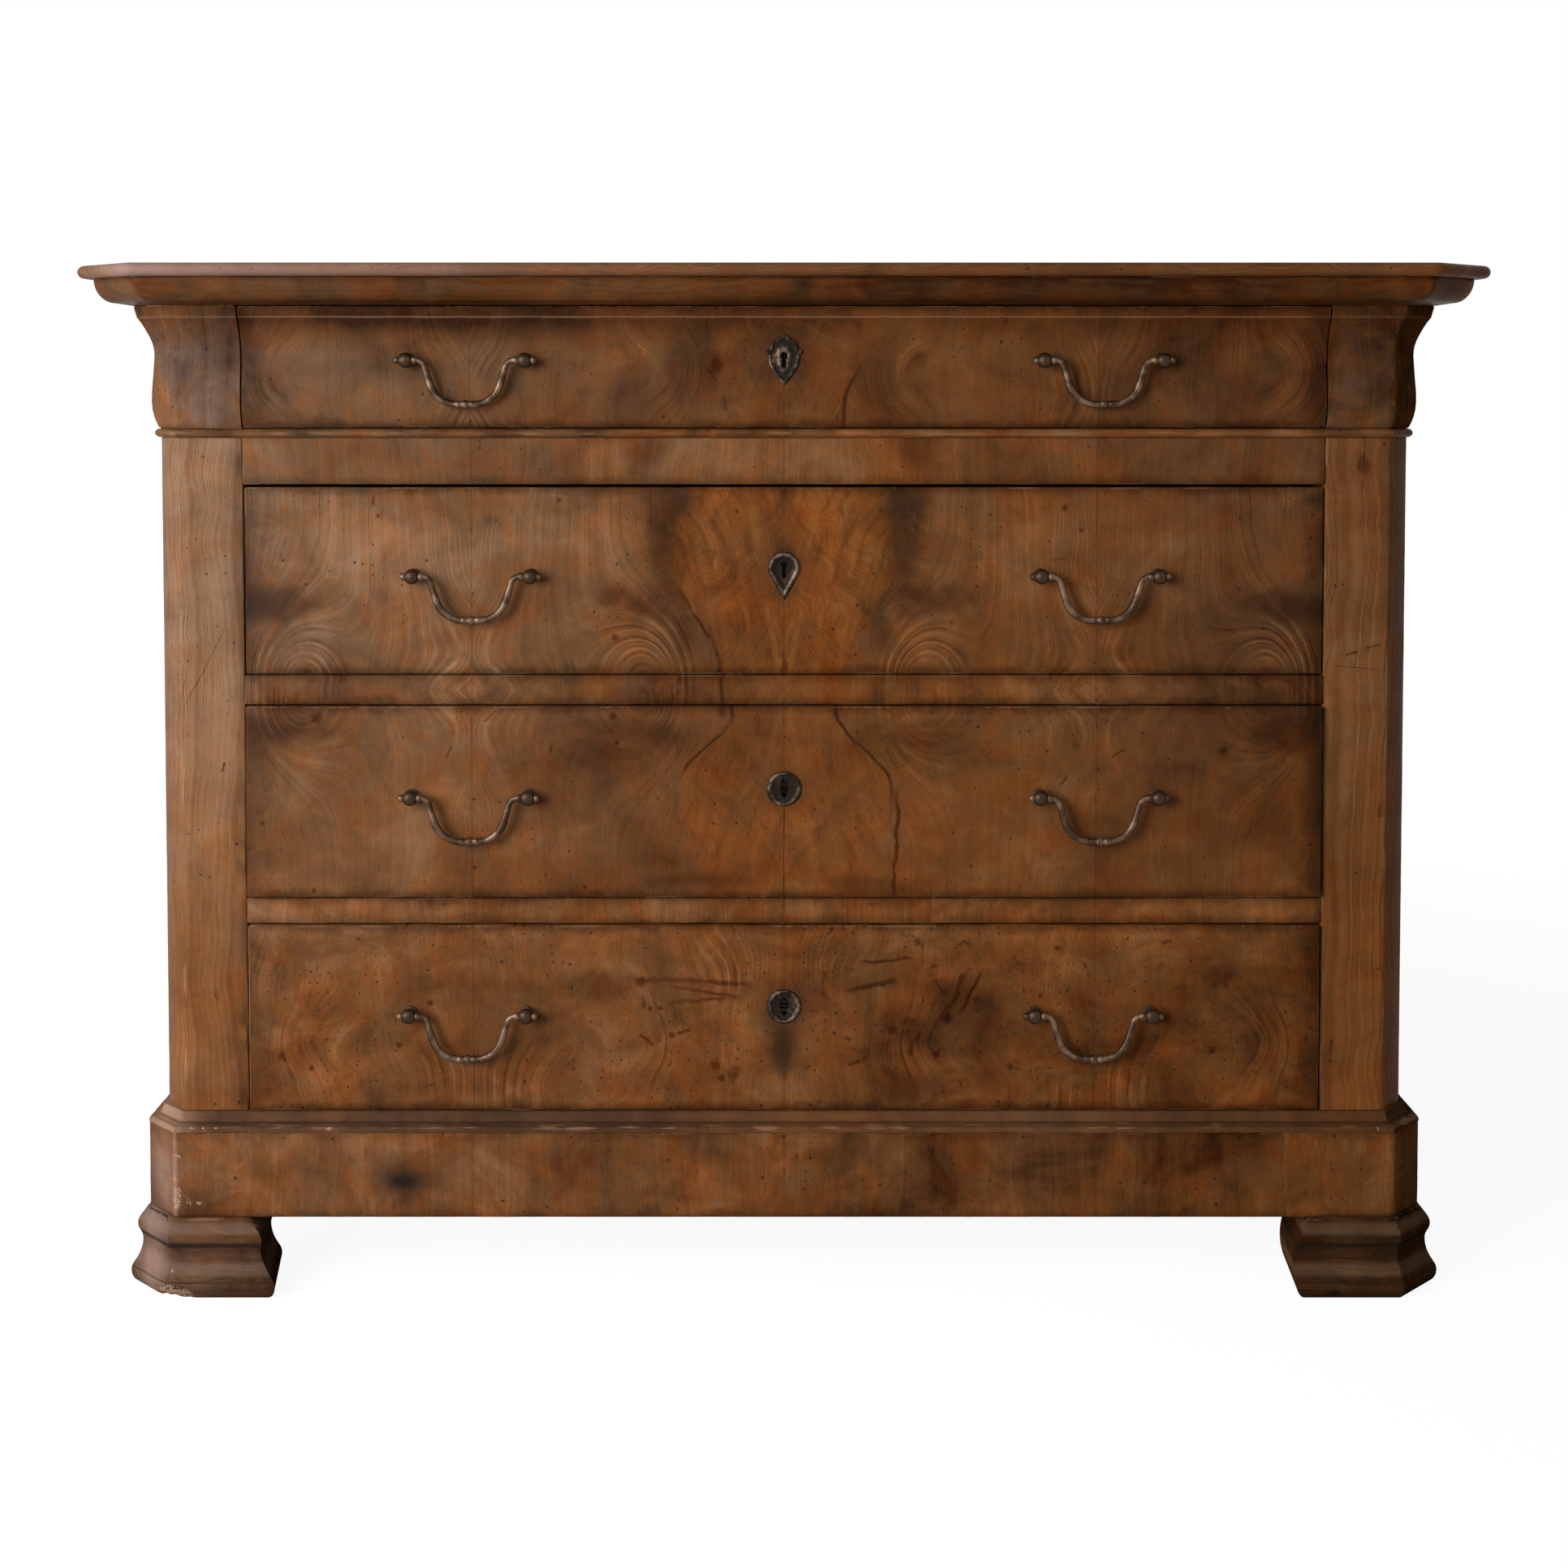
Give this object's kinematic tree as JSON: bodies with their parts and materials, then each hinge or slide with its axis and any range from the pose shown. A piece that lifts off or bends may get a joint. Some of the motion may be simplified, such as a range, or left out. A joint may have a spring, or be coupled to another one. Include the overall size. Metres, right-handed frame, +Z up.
{
  "type": "chest of drawers",
  "caption": "Walnut chest of drawers: moulded top, S-curved frieze drawer over plain drawers between canted stiles, plinth and shaped feet; drawers slide, bail handles swing, lock bolts lift.",
  "frame": {"origin": "on the floor, under the middle of the top's outline", "axes": "+Z up, drawers open towards -Y, +X to the right of someone facing the drawers"},
  "size_m": [1.3, 0.59, 0.9565],
  "materials": {
    "walnut_top": "old shellac polish, worn along the edge",
    "walnut_frieze": "old shellac polish over moulded walnut",
    "walnut_carcass": "old shellac polish over walnut veneer",
    "walnut_drawer_front": "figured walnut veneer, polished and mellow",
    "walnut_feet": "dark, knocked and dusty polish",
    "secondary_wood": "bare planed poplar and oak",
    "aged_bronze": "brown patina, rubbed bright on the high spots",
    "dark_bronze": "dark patina",
    "lock_iron": "dull dark iron"
  },
  "bodies": {
    "carcass": {"top_board": "walnut_top", "cornice_mouldings": "walnut_top", "frieze_blocks": "walnut_frieze", "frieze_sides": "walnut_frieze", "bead_mouldings": "walnut_frieze", "stile_left": "walnut_carcass", "stile_right": "walnut_carcass", "rear_posts": "secondary_wood", "side_panels": "walnut_carcass", "back_boards": "secondary_wood", "rail_upper": "walnut_carcass", "rail_middle": "walnut_carcass", "rail_lower": "walnut_carcass", "bottom_board": "secondary_wood", "drawer_runners": "secondary_wood", "drawer_stops": "secondary_wood", "plinth_front": "walnut_carcass", "plinth_returns": "walnut_carcass", "plinth_mouldings": "walnut_carcass", "front_feet": "walnut_feet"},
    "drawer_1": {"drawer_1_front": "walnut_drawer_front", "drawer_1_sides": "secondary_wood", "drawer_1_back": "secondary_wood", "drawer_1_bottom": "secondary_wood", "drawer_1_keyhole_plate": "dark_bronze", "drawer_1_lock": "lock_iron", "drawer_1_handle_posts": "aged_bronze"},
    "drawer_1_bolt": {"drawer_1_lock_bolt": "lock_iron"},
    "drawer_1_bail_left": {"drawer_1_handle_left": "aged_bronze"},
    "drawer_1_bail_right": {"drawer_1_handle_right": "aged_bronze"},
    "drawer_2": {"drawer_2_front": "walnut_drawer_front", "drawer_2_sides": "secondary_wood", "drawer_2_back": "secondary_wood", "drawer_2_bottom": "secondary_wood", "drawer_2_keyhole_plate": "dark_bronze", "drawer_2_lock": "lock_iron", "drawer_2_handle_posts": "aged_bronze"},
    "drawer_2_bolt": {"drawer_2_lock_bolt": "lock_iron"},
    "drawer_2_bail_left": {"drawer_2_handle_left": "aged_bronze"},
    "drawer_2_bail_right": {"drawer_2_handle_right": "aged_bronze"},
    "drawer_3": {"drawer_3_front": "walnut_drawer_front", "drawer_3_sides": "secondary_wood", "drawer_3_back": "secondary_wood", "drawer_3_bottom": "secondary_wood", "drawer_3_keyhole_plate": "dark_bronze", "drawer_3_lock": "lock_iron", "drawer_3_handle_posts": "aged_bronze"},
    "drawer_3_bolt": {"drawer_3_lock_bolt": "lock_iron"},
    "drawer_3_bail_left": {"drawer_3_handle_left": "aged_bronze"},
    "drawer_3_bail_right": {"drawer_3_handle_right": "aged_bronze"},
    "drawer_4": {"drawer_4_front": "walnut_drawer_front", "drawer_4_sides": "secondary_wood", "drawer_4_back": "secondary_wood", "drawer_4_bottom": "secondary_wood", "drawer_4_keyhole_plate": "dark_bronze", "drawer_4_lock": "lock_iron", "drawer_4_handle_posts": "aged_bronze"},
    "drawer_4_bolt": {"drawer_4_lock_bolt": "lock_iron"},
    "drawer_4_bail_left": {"drawer_4_handle_left": "aged_bronze"},
    "drawer_4_bail_right": {"drawer_4_handle_right": "aged_bronze"}
  },
  "joints": [
    {"name": "drawer_1_slide", "type": "slide", "parent": "carcass", "child": "drawer_1", "axis": [0, -1, 0], "range_m": [0, 0.38]},
    {"name": "drawer_1_bolt_lift", "type": "slide", "parent": "drawer_1", "child": "drawer_1_bolt", "axis": [0, 0, 1], "range_m": [0, 0.009]},
    {"name": "drawer_1_bail_left_hinge", "type": "hinge", "parent": "drawer_1", "child": "drawer_1_bail_left", "pos_m": [-0.29252, -0.24467, 0.86961], "axis": [-1, 0, 0], "range_deg": [-5, 150]},
    {"name": "drawer_1_bail_right_hinge", "type": "hinge", "parent": "drawer_1", "child": "drawer_1_bail_right", "pos_m": [0.29368, -0.24467, 0.86961], "axis": [-1, 0, 0], "range_deg": [-5, 150]},
    {"name": "drawer_2_slide", "type": "slide", "parent": "carcass", "child": "drawer_2", "axis": [0, -1, 0], "range_m": [0, 0.38]},
    {"name": "drawer_2_bolt_lift", "type": "slide", "parent": "drawer_2", "child": "drawer_2_bolt", "axis": [0, 0, 1], "range_m": [0, 0.009]},
    {"name": "drawer_2_bail_left_hinge", "type": "hinge", "parent": "drawer_2", "child": "drawer_2_bail_left", "pos_m": [-0.28901, -0.2395, 0.67018], "axis": [-1, 0, 0], "range_deg": [-5, 150]},
    {"name": "drawer_2_bail_right_hinge", "type": "hinge", "parent": "drawer_2", "child": "drawer_2_bail_right", "pos_m": [0.29232, -0.2395, 0.67018], "axis": [-1, 0, 0], "range_deg": [-5, 150]},
    {"name": "drawer_3_slide", "type": "slide", "parent": "carcass", "child": "drawer_3", "axis": [0, -1, 0], "range_m": [0, 0.38]},
    {"name": "drawer_3_bolt_lift", "type": "slide", "parent": "drawer_3", "child": "drawer_3_bolt", "axis": [0, 0, 1], "range_m": [0, 0.009]},
    {"name": "drawer_3_bail_left_hinge", "type": "hinge", "parent": "drawer_3", "child": "drawer_3_bail_left", "pos_m": [-0.29132, -0.2445, 0.46528], "axis": [-1, 0, 0], "range_deg": [-5, 150]},
    {"name": "drawer_3_bail_right_hinge", "type": "hinge", "parent": "drawer_3", "child": "drawer_3_bail_right", "pos_m": [0.29172, -0.2445, 0.46528], "axis": [-1, 0, 0], "range_deg": [-5, 150]},
    {"name": "drawer_4_slide", "type": "slide", "parent": "carcass", "child": "drawer_4", "axis": [0, -1, 0], "range_m": [0, 0.38]},
    {"name": "drawer_4_bolt_lift", "type": "slide", "parent": "drawer_4", "child": "drawer_4_bolt", "axis": [0, 0, 1], "range_m": [0, 0.009]},
    {"name": "drawer_4_bail_left_hinge", "type": "hinge", "parent": "drawer_4", "child": "drawer_4_bail_left", "pos_m": [-0.29438, -0.2425, 0.26093], "axis": [-1, 0, 0], "range_deg": [-5, 150]},
    {"name": "drawer_4_bail_right_hinge", "type": "hinge", "parent": "drawer_4", "child": "drawer_4_bail_right", "pos_m": [0.28751, -0.2425, 0.26093], "axis": [-1, 0, 0], "range_deg": [-5, 150]}
  ]
}
